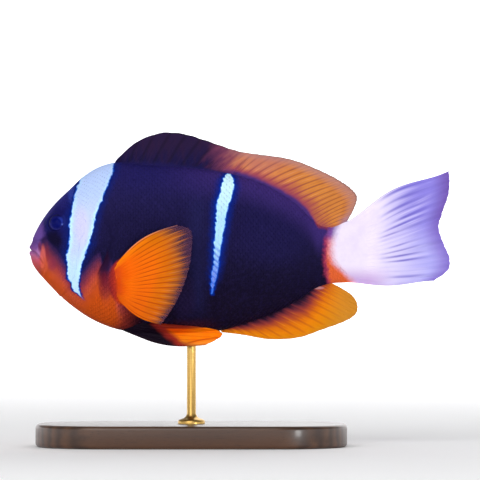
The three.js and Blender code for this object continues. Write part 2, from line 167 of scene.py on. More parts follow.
def relief(u, y, v):
    """How far the worked skin stands above the plain body form, in mm."""
    # The mouth's slit, with a lip above it and one below, and the fold behind the upper lip.
    gape, _ = from_line(GAPE, u, v)
    mouth = 1 - smooth(3.9, 4.8, u)
    height = -0.55 * bump(gape, 0.26) * mouth
    height += 0.42 * bump(gape - 0.95, 0.62) * mouth + 0.38 * bump(gape + 0.9, 0.6) * mouth
    fold, along = from_line(LIP_FOLD, u, v)
    height -= 0.26 * bump(fold, 0.26)
    height += 0.26 * bump(fold - 0.75, 0.5) * smooth(0.2, 0.4, along) * (1 - smooth(0.75, 0.95, along))
    # The eye's groove and rim, and the nostril, a small pit in a raised ring.
    ball = np.sqrt((u - EYE_U) ** 2 + (np.abs(y) - EYE_Y) ** 2 + (v - EYE_V) ** 2) - EYE_RADIUS
    rim = 0.12 * bump(ball - 0.45, 0.42) - 0.06 * bump(ball - 1.35, 0.45)
    height += rim - 0.5 * smooth(0.05, -0.4, ball)
    lid = np.hypot((u - ORBIT_U) / 2.25, (v - ORBIT_V) / 1.95)
    height += 0.34 * smooth(0.85, 1.1, lid) * (1 - smooth(1.15, 2, lid))
    nostril = np.hypot(u - NOSTRIL_U, v - NOSTRIL_V)
    height += 0.14 * bump(nostril - 0.5, 0.2) - 0.4 * bump(nostril, 0.27)
    # The rear edges of the cheek and the gill cover: each rises to its edge and drops behind it.
    for line, starts, stops, rise, run, soft, groove, offset, width in (
        (CHEEK_EDGE, (0, 0.2), (0.8, 1), 0.24, 2.4, 0.1, 0.12, 0.3, 0.3),
        (GILL_EDGE, (0.1, 0.4), (0.62, 0.85), 0.34, 5, 0.15, 0.34, 0.35, 0.4),
    ):
        edge, along = from_line(line, u, v)
        swell = rise * np.exp(-np.maximum(-edge, 0) / run) * smooth(soft, -soft, edge)
        ends = smooth(*starts, along) * (1 - smooth(*stops, along))
        height += (swell - groove * bump(edge - offset, width)) * ends
    # The fleshy root of the pectoral fin, and the chin drawn in under the snout.
    shoulder = np.hypot((u - 28.2) / 2.6, (v + 9.3) / 5.4)
    height += 0.6 * np.exp(-(shoulder**2))
    return height - 0.3 * bump(u - 0.2, 1.2) * bump(v - 0.3, 4)


RINGS, ROUND = 300, 240
BACK_SHARPNESS, BELLY_SHARPNESS = 1.15, 0.9
ring_u = BODY_END * np.linspace(0, 1, RINGS + 1) ** 1.35
ring_angle = np.linspace(0, 2 * np.pi, ROUND + 1)
grid_u, grid_angle = np.meshgrid(ring_u, ring_angle, indexing="ij")
half_depth = (back_line(grid_u) - belly_line(grid_u)) / 2
middle_v = (back_line(grid_u) + belly_line(grid_u)) / 2
sharpness = np.where(np.cos(grid_angle) > 0, BACK_SHARPNESS, BELLY_SHARPNESS)
grid_v = middle_v + half_depth * np.cos(grid_angle)
grid_y = half_width(grid_u) * np.sign(np.sin(grid_angle)) * np.abs(np.sin(grid_angle)) ** sharpness


def grid_normals(surface):
    """Unit normals of the body grid, pointing out, closed smoothly where the grid meets itself."""
    around = np.empty_like(surface)
    around[:, 1:-1] = surface[:, 2:] - surface[:, :-2]
    around[:, 0] = around[:, -1] = surface[:, 1] - surface[:, -2]
    along = np.gradient(surface, axis=0)
    along[0] = along[1]
    normal = np.cross(along, around)
    normal[0] = (-1, 0, 0)
    return normal / np.maximum(np.linalg.norm(normal, axis=-1, keepdims=True), 1e-9)


plain_form = np.stack([grid_u, grid_y + swing(grid_u), grid_v], axis=-1)
lift = relief(grid_u, grid_y, grid_v) - COAT_DEPTH * smooth(0, 2, grid_u)
skin_grid = plain_form + grid_normals(plain_form) * lift[..., None]
skin_normal = grid_normals(skin_grid)


def new_piece(name, verts, faces, edges=()):
    mesh = bpy.data.meshes.new(name)
    mesh.from_pydata([tuple(p) for p in verts], edges, faces)
    mesh.validate()
    piece = bpy.data.objects.new(name, mesh)
    bpy.context.scene.collection.objects.link(piece)
    return piece


def edit_whole(piece):
    """Opens one piece in edit mode, selected all over."""
    bpy.ops.object.select_all(action="DESELECT")
    bpy.context.view_layer.objects.active = piece
    piece.select_set(True)
    bpy.ops.object.mode_set(mode="EDIT")
    bpy.ops.mesh.select_all(action="SELECT")


def finish_mesh(piece, angle=60):
    """Merges doubles, points the faces outwards and shades them smooth."""
    edit_whole(piece)
    bpy.ops.mesh.remove_doubles(threshold=1e-6)
    bpy.ops.mesh.normals_make_consistent(inside=False)
    bpy.ops.object.mode_set(mode="OBJECT")
    bpy.ops.object.shade_smooth_by_angle(angle=math.radians(angle))
    piece.select_set(False)


def quads(grid):
    """The faces of a grid of vertex numbers."""
    corners = grid[:-1, :-1], grid[1:, :-1], grid[1:, 1:], grid[:-1, 1:]
    return np.stack(corners, axis=-1).reshape(-1, 4).tolist()


rings = np.arange((RINGS + 1) * ROUND).reshape(-1, ROUND)
skin_faces = quads(np.hstack([rings, rings[:, :1]])) + [rings[-1].tolist()]
skin = new_piece("skin", metres(*skin_grid[:, :-1].reshape(-1, 3).T), skin_faces)
finish_mesh(skin)


def paint(red, green, blue):
    """A colour given as on a paint chart, 0 to 255, made linear for the shaders."""
    return tuple((c / 255) ** 2.2 for c in (red, green, blue)) + (1,)


def put(value, socket):
    """Links a field to a node's input, or sets the input to a plain value or a paint chart's colour."""
    if isinstance(value, Field):
        value.tree.links.new(value.socket, socket)
    elif value is not None:
        socket.default_value = paint(*value) if socket.type == "RGBA" else value


def add_node(tree, kind, *inputs, **settings):
    """The outputs of a new node, which keeps its own value wherever the input is None."""
    node = tree.nodes.new("ShaderNode" + kind)
    for key, value in settings.items():
        setattr(node, key, value)
    for value, socket in zip(inputs, node.inputs):
        put(value, socket)
    return [Field(tree, socket) for socket in node.outputs]


class Field:
    """A value or colour that changes over a surface, which is reckoned with as a number is."""

    def __init__(self, tree, socket):
        self.tree, self.socket = tree, socket

    def node(self, kind, *inputs, **settings):
        return add_node(self.tree, kind, *inputs, **settings)

    def math(self, operation, *others):
        return self.node("Math", self, *others, operation=operation)[0]

    __add__ = __radd__ = partialmethod(math, "ADD")
    __sub__ = partialmethod(math, "SUBTRACT")
    __rsub__ = partialmethod(math, "MULTIPLY_ADD", -1)
    __mul__ = partialmethod(math, "MULTIPLY")
    __pow__ = partialmethod(math, "POWER")
    __abs__ = partialmethod(math, "ABSOLUTE")

    def step(self, low, high):
        """0 below low and 1 above high, or the other way round, with a soft change between."""
        return self.node("MapRange", self, low, high, interpolation_type="SMOOTHSTEP")[0]

    def hump(self, middle, width):
        """1 at the middle, falling to 0 at width on both sides."""
        return abs(self - middle).step(width, 0)

    def curve(self, points):
        """A smooth curve through (in, out) pairs. The node comes with its first and last points."""
        ins, outs = zip(*points)
        low, high = min(outs), max(outs)
        shape = self.node("FloatCurve", 1, self.node("MapRange", self, ins[0], ins[-1])[0])[0]
        mapping = shape.socket.node.mapping
        line = mapping.curves[0].points
        for x, y in points:
            spot = (x - ins[0]) / (ins[-1] - ins[0]), (y - low) / (high - low)
            if spot[0] in (0, 1):
                line[-int(spot[0])].location = spot
            else:
                line.new(*spot)
        mapping.update()
        return shape * (high - low) + low

    def ramp(self, stops):
        """Runs smoothly through (value, colour) stops."""
        low, high = stops[0][0], stops[-1][0]
        color = self.node("ValToRGB", self.node("MapRange", self, low, high)[0])[0]
        elements = color.socket.node.color_ramp.elements
        for at, tint in stops:
            spot = (at - low) / (high - low)
            element = elements[-int(spot)] if spot in (0, 1) else elements.new(spot)
            element.position, element.color = spot, paint(*tint)
        return color

    def mix(self, a, b):
        """a where this field is 0, and b where it is 1."""
        return self.node("Mix", self, *[None] * 5, a, b, data_type="RGBA")[2]

    def coats(self, *coats):
        """This colour under further coats of paint, each a colour and how much of it shows."""
        found = self
        for tint, share in coats:
            found = share.mix(found, tint)
        return found

    def noise(self, scale, detail=2, roughness=0.5):
        return self.node("TexNoise", self, None, scale, detail, roughness)[0]

    def mapped(self, scale, move=(0, 0, 0), turn=(0, 0, 0)):
        return self.node("Mapping", self, move, turn, scale)[0]


def oval(u, v, middle, size):
    """1 in the middle of an oval in the side view, falling to 0 at its rim."""
    across, up = (u - middle[0]) * (1 / size[0]), (v - middle[1]) * (1 / size[1])
    return (across**2 + up**2).step(1, 0)


def new_group(name, inputs, outputs):
    """A node group with these sockets, and the fields that come in."""
    tree = bpy.data.node_groups.new(name, "ShaderNodeTree")
    for way, labels in (("INPUT", inputs), ("OUTPUT", outputs)):
        for label in labels:
            kind = {"Position": "Vector", "Color": "Color"}.get(label, "Float")
            tree.interface.new_socket(name=label, in_out=way, socket_type="NodeSocket" + kind)
    source = tree.nodes.new("NodeGroupInput")
    return tree, [Field(tree, source.outputs[label]) for label in inputs]


def give_out(tree, *fields):
    target = tree.nodes.new("NodeGroupOutput")
    for field, socket in zip(fields, target.inputs):
        put(field, socket)


def through(group, first, *others):
    """What a node group puts out for these inputs."""
    return first.node("Group", first, *others, node_tree=group)


def side_view(position):
    """u and v in mm of a position in metres."""
    x, _, z = position.node("SeparateXYZ", position)
    return x.math("MULTIPLY_ADD", 1 / MM, -SNOUT_X / MM), z.math("MULTIPLY_ADD", 1 / MM, -LINE_Z / MM)


# Edges of the two pale bars, as (v, u) from below to above.
HEAD_BAR_FRONT = [
    (-15.2, 17.4), (-12.7, 15), (-11, 13.5), (-9.6, 13.3), (-8, 12.1), (-5, 12.1), (-2, 11.8), (3, 12.7),
    (9, 12.7), (14.5, 13.6), (19, 14.5), (22, 15.6), (28, 19.2),
]
HEAD_BAR_REAR = [
    (-15.2, 17.3), (-12.7, 15.9), (-9.6, 15.4), (-6.5, 15.8), (-2, 17), (3, 18.85), (8, 20.1),
    (12, 21), (16.7, 22.8), (21.3, 24.5), (24.4, 25.7), (28, 26.2),
]
MID_BAR_FRONT = [
    (-13, 56.5), (-7.7, 56.3), (-2.5, 57.05), (0.6, 57), (7.4, 57.5), (13.6, 57.7), (18.2, 58.9),
    (21.5, 59.5), (23.2, 60.3), (24.3, 61.3),
]
MID_BAR_REAR = [
    (-13, 56.5), (-10, 57.1), (-7.7, 57.85), (-4, 58.45), (-0.3, 58.8), (5.2, 59.8), (9, 60.45),
    (13.6, 61.3), (18.2, 62.8), (20.7, 63.1), (22.9, 62.7), (24.3, 61.6),
]

# This group paints the fish's own colours, and also some painted light and shade, each marked below.
fish_paint_and_light, (position,) = new_group("anemonefish_colours_and_painted_light", ["Position"], ["Color", "Pale"])
u, v = side_view(position)
cloud = position.noise(160, 3) - 0.5
speck = position.noise(900, 2, 0.6) - 0.5
wander = cloud * 2.2 + speck * 0.9
wu, wv = u + wander, v + wander

# Dark violet body, more indigo along the back and nearly black below, and a violet snout with a black
# patch under the eye.
brow = u - (v * 0.86 - 5.1)
snout = (wu + v * 0.12).step(6.4, 4.4) * v.step(14, 8)
color = wv.ramp([
    (-20, (27, 20, 38)), (-10, (24, 19, 42)), (2, (28, 24, 56)), (10, (30, 26, 62)), (16, (34, 30, 72)),
    (24, (38, 34, 88)),
]).coats(
    ((32, 28, 72), oval(wu, wv, (74, 5), (17, 12)) * 0.6),
    ((58, 50, 112), speck.step(-0.06, 0.16) * 0.07),
    ((38, 38, 84), wu.hump(52, 5) * wv.step(20, 12) * wv.step(-24, -12) * 0.5),
    ((74, 30, 36), wv.step(-20, -23.5) * wu.hump(50, 12) * 0.7),
    # Painted light: a lighter patch on the flank behind the pectoral fin, against the shadow the fin casts
    # there.
    ((38, 29, 62), oval(wu, wv, (47.5, -13.5), (5, 9)) * 0.8),
    ((30, 30, 92), wu.step(26, 12) * wv.step(-4, 8) * 0.8),
    ((56, 54, 136), u.step(14.5, 9) * v.step(12, 19) * 0.8),
    ((21, 17, 42), oval(wu, wv, (7.4, 3.6), (3.6, 4.2)) * 0.95),
    ((104, 74, 148), snout * 0.95),
    # Painted light: a lighter blue patch on the skin at the rear rim of the eye, lifting the shade in the
    # groove there.
    ((44, 50, 128), oval(u, v, (10.7, 9.6), (0.9, 2.2)) * 0.6),
    ((78, 70, 142), brow.step(2.4, 0.4) * v.hump(11, 5) * 0.7),
)

# Orange from the jaws to the breast, which comes up out of the violet through plum.
WARM_TOP = [
    (0, 3), (2.6, 3.4), (5.1, 4.7), (6.3, 3.5), (7.6, 1.8), (8.8, 0.7), (10, -0.6), (11.3, -2.4),
    (12.5, -4), (14, -5.2), (16.5, -5.2), (18.1, -3.6), (19.3, -2), (20.5, -0.8), (21.8, -0.2),
    (23, -3.2), (24.2, -4), (25.5, -2.5), (26.5, -5), (27.5, -9.5), (30, -13), (33, -17.5), (36, -23),
]
under = u.curve(WARM_TOP) - (v + cloud * 1.6 + speck * 1.4)
breast = u - v * 0.62 + cloud * 3
warm = under.ramp([
    (0, (34, 26, 66)), (1.2, (58, 37, 76)), (2.4, (88, 43, 74)), (3.6, (112, 49, 70)),
    (4.8, (136, 54, 67)), (6, (160, 63, 62)), (7.2, (178, 71, 58)), (8.6, (194, 80, 50)),
    (11, (196, 78, 34)), (14, (196, 78, 24)),
]).coats(
    ((126, 46, 76), oval(u, v, (7, -3.6), (2, 3)) * 0.5),
    ((134, 48, 38), breast.step(38.3, 43.5)),
    ((36, 20, 34), breast.step(41, 48.5)),
)

# Lilac-pink lips with a painted highlight, the orange rear of the upper jaw, and painted shade in the folds
# round it.
lips = v.ramp([
    (-7, (166, 66, 52)), (-4.6, (182, 76, 72)), (-2.9, (192, 84, 98)), (-1.5, (180, 94, 124)),
    (-0.2, (156, 96, 148)), (1.1, (120, 78, 142)), (2.3, (104, 70, 136)), (4, (98, 70, 142)),
])
color = color.coats(
    (warm, under.step(-1, 0.8) * u.step(44, 38)),
    (lips, u.step(4.3, 2.9) * v.step(4.4, 3)),
    # Painted highlight on the upper lip.
    ((176, 122, 176), oval(u, v, (2.9, -0.2), (0.9, 2)) * 0.5),
    ((212, 98, 92), oval(u, v, (4.3, -1.6), (1.15, 4.6)) * 0.95),
    ((210, 92, 62), oval(u, v, (4.8, -4), (1.3, 3.2)) * 0.7),
    # Painted shade in the fold between the lips and the jaw, and in the fold behind the jaw.
    ((112, 46, 82), oval(u, v, (3.3, 1.6), (0.7, 2)) * 0.8),
    ((112, 38, 58), oval(u, v, (5.7, -0.6), (0.7, 3.6)) * 0.4),
)

# Dark cleft behind the gill cover, partly the dark spot above the pectoral fin's root and partly painted
# shade in the gill opening, and the orange root of the pectoral fin.
CLEFT_EDGE = [(-16, 22.4), (-10.4, 21.4), (-8, 21.1), (-5.6, 21.7), (-2.2, 23.4), (3, 25)]
cleft = (u - v.curve(CLEFT_EDGE)).step(-0.25, 0.3)
lobe = (u - abs(v + 9) * 0.09).ramp([
    (24, (112, 38, 50)), (25.3, (142, 42, 42)), (26.4, (168, 50, 36)), (27.6, (212, 72, 16)),
    (29, (222, 84, 4)),
])
lobe_reach = (u - 30) ** 2 * (1 / 5.6**2) + (v + 9.2) ** 2 * (1 / 7.4**2)
color = color.coats(
    # Partly the dark spot above the fin's root, and partly painted shade in the gill opening.
    ((46, 22, 50), oval(wu, wv, (23, -4.6), (2.6, 7.8)) * cleft * 0.92),
    ((116, 32, 42), oval(wu, wv, (23.6, -10.4), (3.2, 5.4)) * cleft * 0.7),
    (lobe, lobe_reach.step(1.12, 0.8)),
)

# Orange that comes down from the rear of the back fin on to the stalk.
ORANGE_EDGE = [
    (60, 25.6), (63.4, 25), (69.5, 23.1), (75.7, 20.4), (79.4, 18.4), (82.6, 16.2), (85, 14.1),
    (87.3, 11), (88.4, 8.9), (89.4, 7.8), (91, 7.6), (92.5, 7), (98, 6.8),
]
above = v + cloud * 1.2 - u.curve(ORANGE_EDGE)
color = color.coats(
    ((62, 46, 110), above.step(-11.5, -0.6) * u.step(36, 66) * 0.95),
    ((138, 58, 76), above.step(-0.9, 0.5) * u.step(80, 84)),
    ((190, 104, 50), above.step(0.2, 1.4) * u.step(80, 84)),
)

# The tail stalk: an orange wedge, red where it meets the body, then the white of the tail.
RED_EDGE = [(-12, 92.6), (-9.1, 92), (-5.7, 91.3), (-1.7, 91.2), (2, 91.3), (6.5, 92.4), (10, 94.4)]
WHITE_EDGE = [(-12, 102.5), (-7.6, 98.9), (-5.2, 96.2), (-2.1, 94), (2, 93.7), (6.5, 94.3), (10, 95.5)]
ragged = position.noise(1100, 1) - 0.5 + (position.noise(420, 1) - 0.5) * 0.9
behind = u - (v.curve(RED_EDGE) + cloud * 1.2 + ragged * 1.3)
before = u - (v.curve(WHITE_EDGE) + cloud + ragged * 0.9)
wedge = v.step(-1, 1.5).mix((222, 98, 52), (224, 110, 112)).coats(((124, 82, 168), v.step(1.5, 6)))
wedge = behind.step(0, 1.6).mix(v.step(3, 6.5).mix((166, 57, 86), (98, 62, 124)), wedge)
white_paint_and_shade = (cloud + speck * 0.3).step(-0.12, 0.2).mix((226, 215, 235), (219, 207, 234)).coats(
    # Painted shade: a darker lilac along the underside of the stalk.
    ((178, 144, 202), v.step(-3.5, -9.3) * u.step(116, 104) * 0.85),
    ((164, 160, 224), u.step(104, 125)),
)
tail_white = before.step(-1.4, 1.8)
color = color.coats(
    (wedge, behind.step(-1.2, 0.8)),
    ((224, 158, 172), before.step(-2.4, 0.2) * v.step(6, 2)),
    ((126, 78, 158), v.step(3.6, 6.8) * behind.step(-1, 0.8) * before.step(0.4, -1.2)),
    (white_paint_and_shade, tail_white),
)


def within(*fields):
    """The least of some distances in from edges, which is 0 at the nearest edge."""
    found = fields[0]
    for field in fields[1:]:
        found = found.math("MINIMUM", field)
    return found


# The bars, ragged along the scales, each in a thin deep-blue line with a blue glow round it.
wave = ((u + v) * 3.1 + cloud * 14).math("SINE")
head_in = within(u + ragged - v.curve(HEAD_BAR_FRONT), v.curve(HEAD_BAR_REAR) - (u + ragged), v + 15)
mid_front = u + ragged * 0.7 - wave * 0.13 - v.curve(MID_BAR_FRONT)
mid_in = within(mid_front, v.curve(MID_BAR_REAR) - (u + ragged * 0.7), v + 12.8, 24.2 - v)
inside = head_in.math("MAXIMUM", mid_in)
above_tip = v.step(-15.4, -12.6)
color = color.coats(
    ((12, 37, 118), inside.step(-3.2, -0.2) * v.step(-14, 2) * 0.55),
    ((13, 40, 132), mid_in.step(-2.4, -0.2) * v.step(-14, 0) * 0.6),
    ((56, 72, 164), oval(u, v, (13.2, 18.6), (1.7, 4.6)) * 0.6),
    (u.step(30, 50).mix((4, 32, 112), (10, 42, 138)), inside.step(-0.9, -0.3) * above_tip),
    ((34, 100, 222), inside.step(-0.3, 0) * above_tip),
)
streak = position.mapped((1, 1, 0.12)).noise(1500)
on_middle = u.step(50, 52)
pale_bar = inside.step(0.1, 1.5).mix((186, 231, 252), (187, 202, 243)).coats(
    ((204, 198, 241), oval(u, v, (16.4, 8), (2.6, 8)) * 0.7),
    ((166, 194, 244), v.step(11, 19) * u.step(40, 30) * 0.6),
    (v.step(9, 20).mix((158, 216, 248), (200, 244, 250)), u.step(40, 56) * 0.75),
    ((186, 226, 249), v.step(2, -6) * u.step(30, 20) * 0.7),
    ((100, 136, 234), v.step(3.5, -8.5) * on_middle),
    ((56, 92, 208), wave.step(-0.6, 1) * v.step(4.5, -1) * on_middle * 0.6),
    ((176, 150, 190), v.step(-12.6, -14.6) * u.step(30, 28) * 0.7),
    ((176, 194, 240), streak.step(0.55, 0.75) * 0.22),
)
bar = inside.step(-0.1, 0.26)
give_out(fish_paint_and_light, color.coats((pale_bar, bar)), bar.math("MAXIMUM", tail_white))


def new_material(name, roughness=0.5, specular=0.1, coat=0, coat_roughness=0.1):
    """A material with these even values, its shader's inputs, and its object coordinates."""
    material = bpy.data.materials.new(name)
    material.use_nodes = True
    shader = material.node_tree.nodes["Principled BSDF"].inputs
    shader["Roughness"].default_value = roughness
    shader["Specular IOR Level"].default_value = specular
    shader["Coat Weight"].default_value = coat
    shader["Coat Roughness"].default_value = coat_roughness
    return material, shader, add_node(material.node_tree, "TexCoord")[3]


def raise_by(shader, height, distance, strength=1):
    """Works fine relief into a surface: a field of heights, and the metres that 1 stands for."""
    normal = height.node("Bump", strength, distance)[0]
    put(height, normal.socket.node.inputs["Height"])
    put(normal, shader["Normal"])


skin_paint, shader, place = new_material("painted_skin", 0.5, 0.025)
marked, pale = through(fish_paint_and_light, place)
dirt = place.noise(700, 4, 0.6) * (0.3 - pale * 0.27)
put(dirt.mix(marked, (14, 10, 26)), shader["Base Color"])
raise_by(shader, place.noise(2600, 3, 0.6), 0.00006)
skin.data.materials.append(skin_paint)
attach(skin, "root")
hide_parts("head", "lower_jaw", "gill_cover_left", "gill_cover_right", "trunk", "tail_stalk")


# ---- Scales ----
# Thin overlapping plates that cover the body, cheeks and gill covers: each is rooted in the skin and
# lifts at its rounded rear edge. The snout, jaws and eye rims stay bare.

SCALE_STEP = 0.86  # mm between columns
ROW_STEP = 1.95  # mm between rows
SCALE_LENGTH, SCALE_WIDTH = 2.5, 2.1
SCALE_CELLS = 4  # along a scale, and across it
ROOT_SUNK = 0.14  # mm that a scale's root lies under the skin
EDGE_LEAST, EDGE_MOST = 0.045, 0.075  # mm that its rear edge stands up
PRESSED_ON_BARS = 0.3
FIRST_SCALE = 4  # mm along the flank
LAST_SCALE_U, BARE_ROUND_EYE = 97, 4.1
SCATTER = 0.05  # how unevenly scales are set, in mm and in slope
rng = np.random.default_rng(7)

# Arc lengths from the middle of the flank, so that scales can be set out evenly on it.
quarter = ROUND // 4
arc_step = np.linalg.norm(np.diff(skin_grid[:, : 2 * quarter + 1], axis=1), axis=-1)
arc = np.concatenate([np.zeros((RINGS + 1, 1)), np.cumsum(arc_step, axis=1)], axis=1)
arc -= arc[:, quarter : quarter + 1]
length_step = np.linalg.norm(np.diff(skin_grid[:, quarter], axis=0), axis=-1)
along_flank = np.concatenate([[0], np.cumsum(length_step)])


def on_flank(s, t):
    """Grid row and column of the place s along the flank and t down from its middle."""
    row = np.interp(s, along_flank, np.arange(RINGS + 1))
    low = np.clip(row.astype(int), 0, RINGS - 1)
    share = row - low
    column = np.empty_like(row)
    for i in range(len(row)):
        here = arc[low[i]] * (1 - share[i]) + arc[low[i] + 1] * share[i]
        column[i] = np.interp(t[i], here, np.arange(2 * quarter + 1))
    return row, column


def sample(values, row, column):
    r, c = np.clip(row.astype(int), 0, RINGS - 1), np.clip(column.astype(int), 0, 2 * quarter - 1)
    a, b = (row - r)[:, None], (column - c)[:, None]
    near = values[r, c] * (1 - b) + values[r, c + 1] * b
    far = values[r + 1, c] * (1 - b) + values[r + 1, c + 1] * b
    return near * (1 - a) + far * a


def scale_size(u):
    """Scales are small on the head, full size on the trunk, and smaller again to the tail."""
    return np.interp(u, [0, 8, 22, 40, 65, 85, 98], [0.5, 0.6, 0.86, 1, 0.98, 0.74, 0.55])


def scale_roots():
    """Places of the scales on one side, as s and t, with each one's size."""
    s, column, found = FIRST_SCALE, 0, []
    while s < along_flank[-1]:
        size = float(scale_size(float(np.interp(s, along_flank, ring_u))))
        row = int(np.interp(s, along_flank, np.arange(RINGS + 1)))
        top, low = arc[row, 0], arc[row, -1]
        step = ROW_STEP * size
        for j in range(int(top / step) - 1, int(low / step) + 2):
            t = (j + 0.5 * (column % 2)) * step
            if top + 0.2 < t < low - 0.2:
                found.append((s, t, size))
        s += SCALE_STEP * size
        column += 1
    return np.array(found)


def edge_at(v, line):
    """u of an edge given as (v, u) pairs."""
    return np.interp(v, *np.transpose(line))


FACE_LINE = [(-20, 12), (-12, 9.6), (-6, 8.4), (0, 7.6), (5, 6.8), (9, 8.6), (14, 8.8), (18, 9), (24, 11)]


def is_scaled(u, v):
    """Whether a scale is rooted here: not on the snout, jaws, eye rims or gill membrane."""
    eye = np.hypot(u - EYE_U, v - EYE_V)
    gill, _ = from_line(GILL_EDGE, u, v)
    cheek, _ = from_line(CHEEK_EDGE, u, v)
    bare = (eye < BARE_ROUND_EYE) | (u < edge_at(v, FACE_LINE)) | ((gill > -1.7) & (gill < 0.3))
    bare |= (cheek > -0.9) & (cheek < 0.2)
    bare |= ((u - 27.5) / 2.2) ** 2 + ((v + 9.3) / 5.4) ** 2 < 1
    return ~bare & (u < np.minimum(edge_at(v, WHITE_EDGE) - 1.2, LAST_SCALE_U))


roots = scale_roots()
roots[:, :2] += rng.normal(0, SCATTER, (len(roots), 2))
root_row, root_column = on_flank(roots[:, 0], roots[:, 1])
root_place = sample(skin_grid, root_row, root_column)
keep = is_scaled(root_place[:, 0], root_place[:, 2])
roots, root_row, root_column = roots[keep], root_row[keep], root_column[keep]
root_u, root_v = root_place[keep, 0], root_place[keep, 2]
tilt = rng.normal(0, SCATTER, len(roots))
pressed = (1 - 0.5 * smooth(4, -8, root_v)) * (1 - 0.4 * smooth(-8, -14, root_v))
raised = rng.uniform(EDGE_LEAST, EDGE_MOST, len(roots)) * (1 - 0.5 * smooth(86, 93, root_u)) * pressed
for front, rear in ((HEAD_BAR_FRONT, HEAD_BAR_REAR), (MID_BAR_FRONT, MID_BAR_REAR)):
    on_bar = (root_u > edge_at(root_v, front) - 1.5) & (root_u < edge_at(root_v, rear))
    raised *= np.where(on_bar, PRESSED_ON_BARS, 1)

# One plate, as shares along it, across it, and of its height: a fan with a rounded rear edge, which is
# turned down into the skin. Its last two shares are its map.
wide = SCALE_CELLS + 1
plate = []
for i in range(wide):
    for j in range(wide):
        along, side = i / SCALE_CELLS, 2 * j / SCALE_CELLS - 1
        reach = 1 - 0.34 * side * side * along
        spread = (0.72 + 0.28 * math.sin(along * math.pi * 0.6)) * (1 - 0.1 * along**4)
        plate.append((along * reach, side * spread, along**0.7, along, (side + 1) / 2))
for along, side, _, _, across in plate[-wide:]:
    plate.append((along * 0.985, side * 0.97, 0.12, 1, across))
plate = np.array(plate)
plate_faces = np.array(quads(np.arange(len(plate)).reshape(-1, wide)))

scale_paint, shader, place = new_material("painted_scales", 0.45, 0.025)
marked, pale = through(fish_paint_and_light, place)
along, across, _ = place.node("SeparateXYZ", place.node("UVMap", uv_map="Plate")[0])
rim = along.step(0.72, 1)
tone = place.node("Attribute", attribute_name="tone")[2]
color = marked.coats(
    # Painted shade at each scale's root, under the rear edge of the scale ahead, with a random darker tone
    # per scale.
    ((12, 8, 24), (along.step(0.75, 0.35) * 0.06 + tone * 0.08) * (1 - pale * 0.92)),
    # A faint painted highlight along each scale's raised rim.
    ((150, 140, 210), rim * 0.006),
    # On the pale bars and tail, a white painted highlight along each scale's rear edge, which lightens the
    # shade at the edges.
    ((248, 250, 255), along.step(0.9, 1) * pale * 0.35),
)
put(color, shader["Base Color"])
raise_by(shader, (across * 60).math("SINE") * rim, 0.00003, 0.6)


def scale_coat(name, side):
    size = roots[:, 2:3]
    s = roots[:, 0:1] + plate[:, 0] * SCALE_LENGTH * size
    t = roots[:, 1:2] + (plate[:, 1] * SCALE_WIDTH / 2 + tilt[:, None] * plate[:, 0] * SCALE_LENGTH) * size
    row, column = on_flank(s.ravel(), t.ravel())
    sunk = ROOT_SUNK * pressed[:, None]
    height = (-sunk + (raised[:, None] + sunk) * plate[:, 2]) * size
    point = sample(skin_grid, row, column) + sample(skin_normal, row, column) * height.reshape(-1, 1)
    if side < 0:
        point[:, 1] = 2 * swing(point[:, 0]) - point[:, 1]
    count = len(plate)
    faces = np.arange(len(roots))[:, None, None] * count + plate_faces[:, ::side]
    coat = new_piece(name, metres(*point.T), faces.reshape(-1, 4).tolist())
    corner = faces.ravel()
    plate_map = np.tile(plate[:, 3:5], (len(roots), 1))[corner]
    # In the second map each scale has a small square of its own.
    patch = np.stack([root_row / RINGS, root_column / (2 * quarter)], axis=1)
    bake_map = np.repeat(patch, count, axis=0)[corner] * 0.98 + 0.01 + (plate_map - 0.5) * 0.003
    for label, values in (("Plate", plate_map), ("OFBake", bake_map)):
        layer = coat.data.uv_layers.new(name=label)
        layer.data.foreach_set("uv", values.astype(np.float32).ravel())
    tones = coat.data.attributes.new("tone", "FLOAT", "POINT")
    tone_values = np.repeat(np.random.default_rng(11).uniform(0, 1, len(roots)), count)
    tones.data.foreach_set("value", tone_values.astype(np.float32))
    coat.data.shade_smooth()
    coat.data.materials.append(scale_paint)
    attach(coat, "root")


scale_coat("scales_left", -1)
scale_coat("scales_right", 1)


# ---- Eyes ----
# Glass eyes, set in the eye sockets: a dark blue-violet iris with a faint pale ring round a black
# pupil, which bulges as a fish's lens does, under a wet-looking clear coat.

PUPIL, IRIS_RING = 1.5, 1.98  # mm from the eye's axis
PUPIL_BULGE, IRIS_DISH = 0.1, 0.05  # mm
EYE_SINK = 0.15  # mm
GLASS_FIT = 0.985  # of the socket's radius

eye_paint, shader, place = new_material("glass_eye", 0.45, 0.03, 0.03, 0.05)
u, v = side_view(place)
across, up = u - (ORBIT_U + 0.2), v - ORBIT_V
out = (across**2 + up**2).math("SQRT")
ring = out.hump(IRIS_RING, 0.3) * (up.step(0.6, -0.6) * 0.34 + 0.06)
iris_and_catchlight = (place.noise(2400, 3, 0.6).step(0.45, 0.7) * 0.4).mix((20, 23, 86), (34, 36, 108)).coats(
    # Lighter blue at the rear of the iris: partly its own colour, partly a painted reflection.
    ((40, 52, 140), oval(u, v, (9.9, 9.4), (1.6, 1.8)) * 0.9),
    ((8, 16, 84), out.step(PUPIL + 0.15, PUPIL - 0.2) * 0.9),
    ((60, 58, 128), ring),
    ((20, 20, 68), out.step(2, 2.4) * across.step(1.6, 0.6)),
    ((10, 10, 48), across.step(-1.5, -2) * up.step(-0.4, 0.6) * 0.6),
    # Painted highlight: a small pale-blue catchlight at the rear of the iris.
    ((104, 126, 214), oval(u, v, (10.45, 8.5), (0.55, 0.4)) * 0.45),
)
put(iris_and_catchlight, shader["Base Color"])

